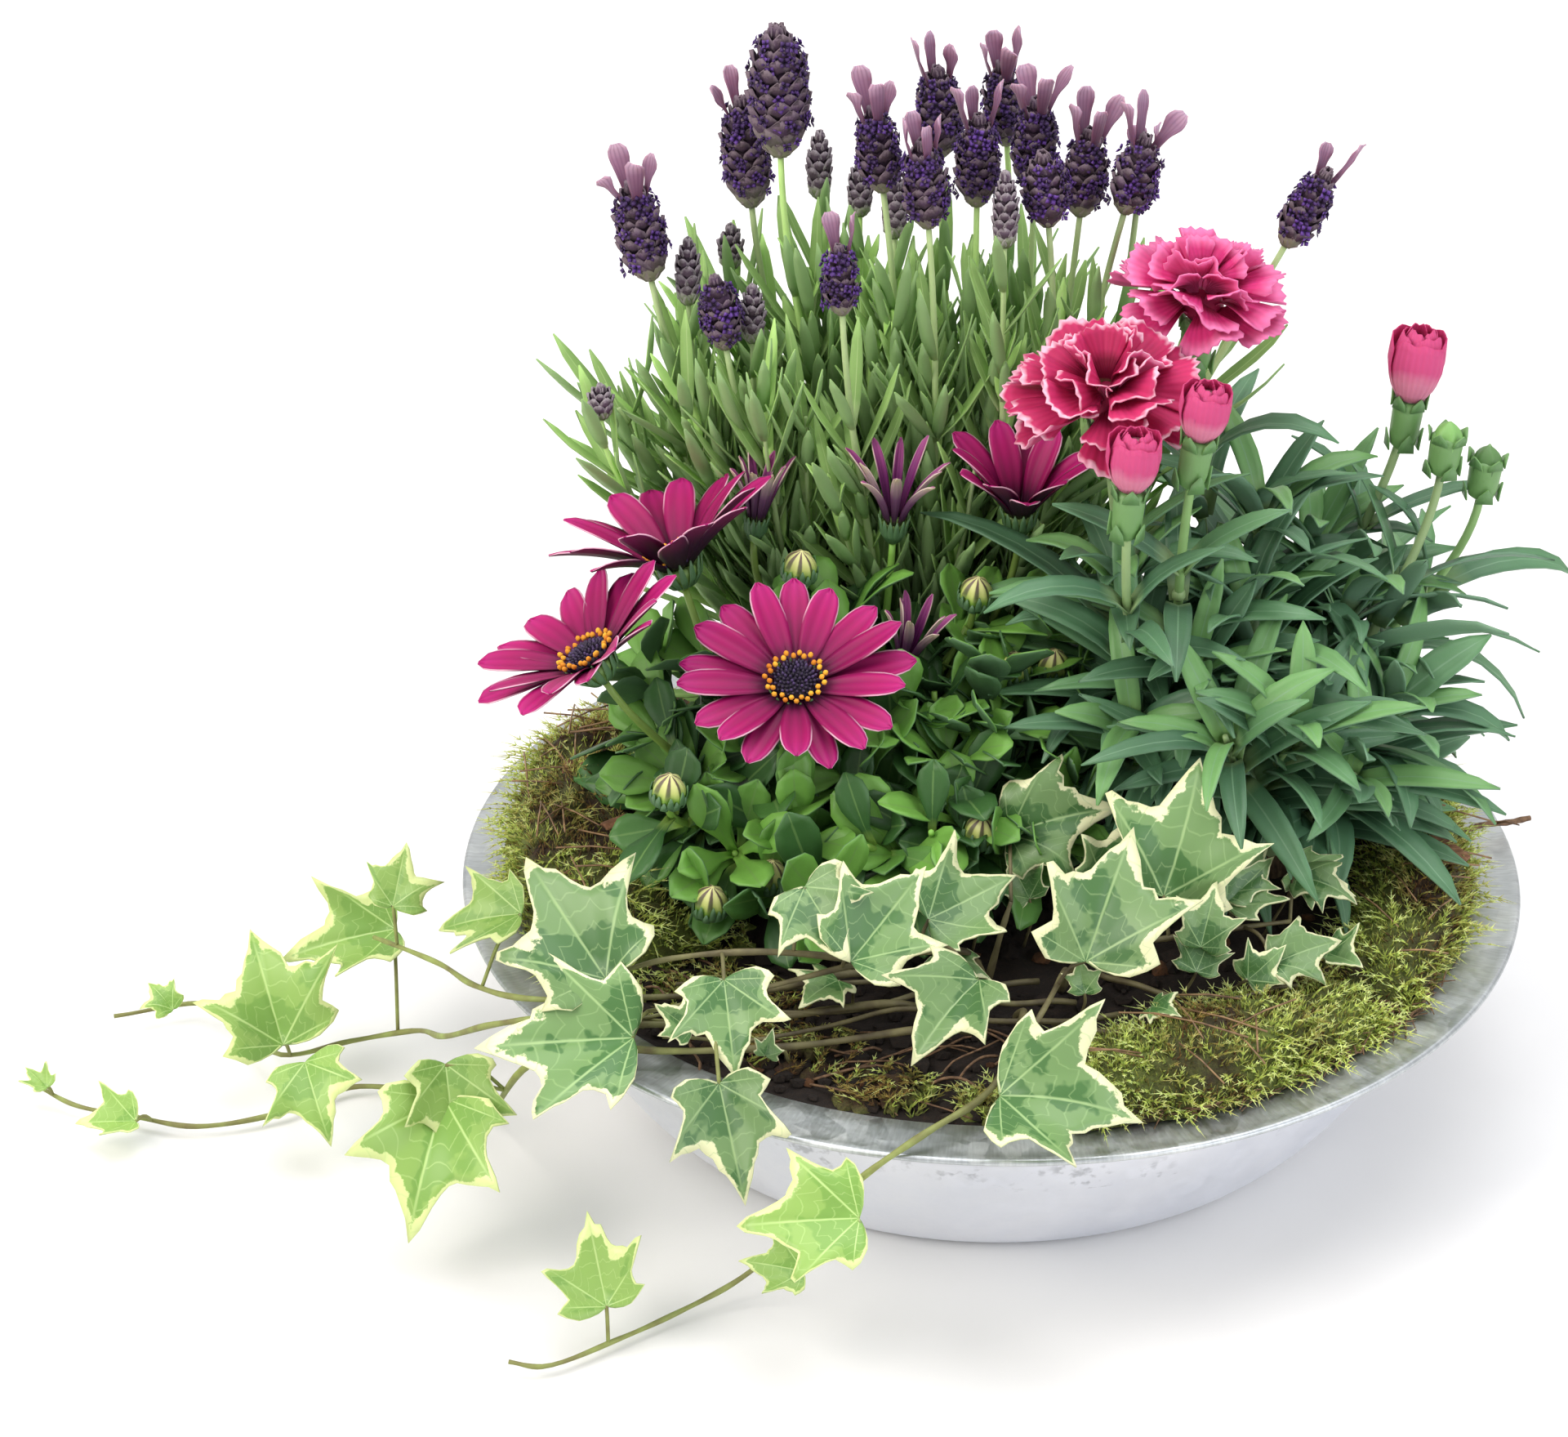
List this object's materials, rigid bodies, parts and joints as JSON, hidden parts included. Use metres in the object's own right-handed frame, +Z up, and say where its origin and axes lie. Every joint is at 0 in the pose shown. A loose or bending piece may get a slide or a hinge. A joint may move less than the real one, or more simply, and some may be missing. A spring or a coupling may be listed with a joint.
{
  "type": "planted bowl with lavender",
  "caption": "Low round zinc bowl on a flat base, planted with lavender, African daisies, carnations and variegated ivy that trails over the rim, with moss round the soil.",
  "frame": {"origin": "centre of the flat underside of the bowl's base", "axes": "+Z up through the middle of the bowl, -Y towards the front, +X to the right; the ivy trails to the left, towards -X"},
  "size_m": [0.4284, 0.3369, 0.285],
  "materials": {
    "zinc": "galvanised, dull, with a faint spangle",
    "soil": "moist, crumbly",
    "moss": "matt, tufted",
    "lavender_leaf": "matt, downy",
    "lavender_flower": "matt, velvety",
    "daisy_leaf": "satin",
    "daisy_ray": "satin",
    "daisy_disc": "matt, granular",
    "carnation_leaf": "matt, waxy bloom",
    "carnation_petal": "matt, silky",
    "carnation_bud": "matt, silky",
    "ivy_leaf": "satin, variegated with cream margins",
    "bark": "rough, dry",
    "twig": "rough, dry"
  },
  "bodies": {
    "root": {"bowl": "zinc", "soil": "soil", "moss_left": "moss", "moss_right": "moss", "moss_front_right": "moss", "moss_back": "moss", "ivy_vine_upper_left": "ivy_leaf", "ivy_vine_middle_left": "ivy_leaf", "ivy_vine_lower_left": "ivy_leaf", "ivy_vine_front": "ivy_leaf", "ivy_centre": "ivy_leaf", "ivy_right": "ivy_leaf", "lavender_head_01": "lavender_flower", "lavender_head_02": "lavender_flower", "lavender_head_03": "lavender_flower", "lavender_head_04": "lavender_flower", "lavender_head_05": "lavender_flower", "lavender_head_06": "lavender_flower", "lavender_head_07": "lavender_flower", "lavender_head_08": "lavender_flower", "lavender_head_09": "lavender_flower", "lavender_head_10": "lavender_flower", "lavender_head_11": "lavender_flower", "lavender_head_12": "lavender_flower", "lavender_head_13": "lavender_flower", "lavender_head_14": "lavender_flower", "lavender_head_15": "lavender_flower", "lavender_head_16": "lavender_flower", "daisy_front_rays": "daisy_ray", "daisy_front_disc": "daisy_disc", "daisy_back_rays": "daisy_ray", "daisy_back_disc": "daisy_disc", "daisy_left_rays": "daisy_ray", "daisy_left_disc": "daisy_disc", "daisy_half_open_rays": "daisy_ray", "daisy_closed_middle_rays": "daisy_ray", "daisy_closed_left_rays": "daisy_ray", "daisy_closed_low_rays": "daisy_ray", "carnation_upper": "carnation_petal", "carnation_lower": "carnation_petal", "carnation_bud_low": "carnation_bud", "carnation_bud_middle": "carnation_bud", "carnation_bud_right": "carnation_bud", "daisy_stems_1": "daisy_leaf", "daisy_stems_2": "daisy_leaf", "daisy_stems_3": "daisy_leaf", "carnation_stems_1": "carnation_leaf", "carnation_stems_2": "carnation_leaf", "carnation_stems_3": "carnation_leaf", "lavender_stems_1": "lavender_leaf", "lavender_stems_2": "lavender_leaf", "lavender_stems_3": "lavender_leaf", "lavender_stems_4": "lavender_leaf", "lavender_stems_5": "lavender_leaf", "bark_chip": "bark", "twig": "twig"}
  },
  "joints": []
}
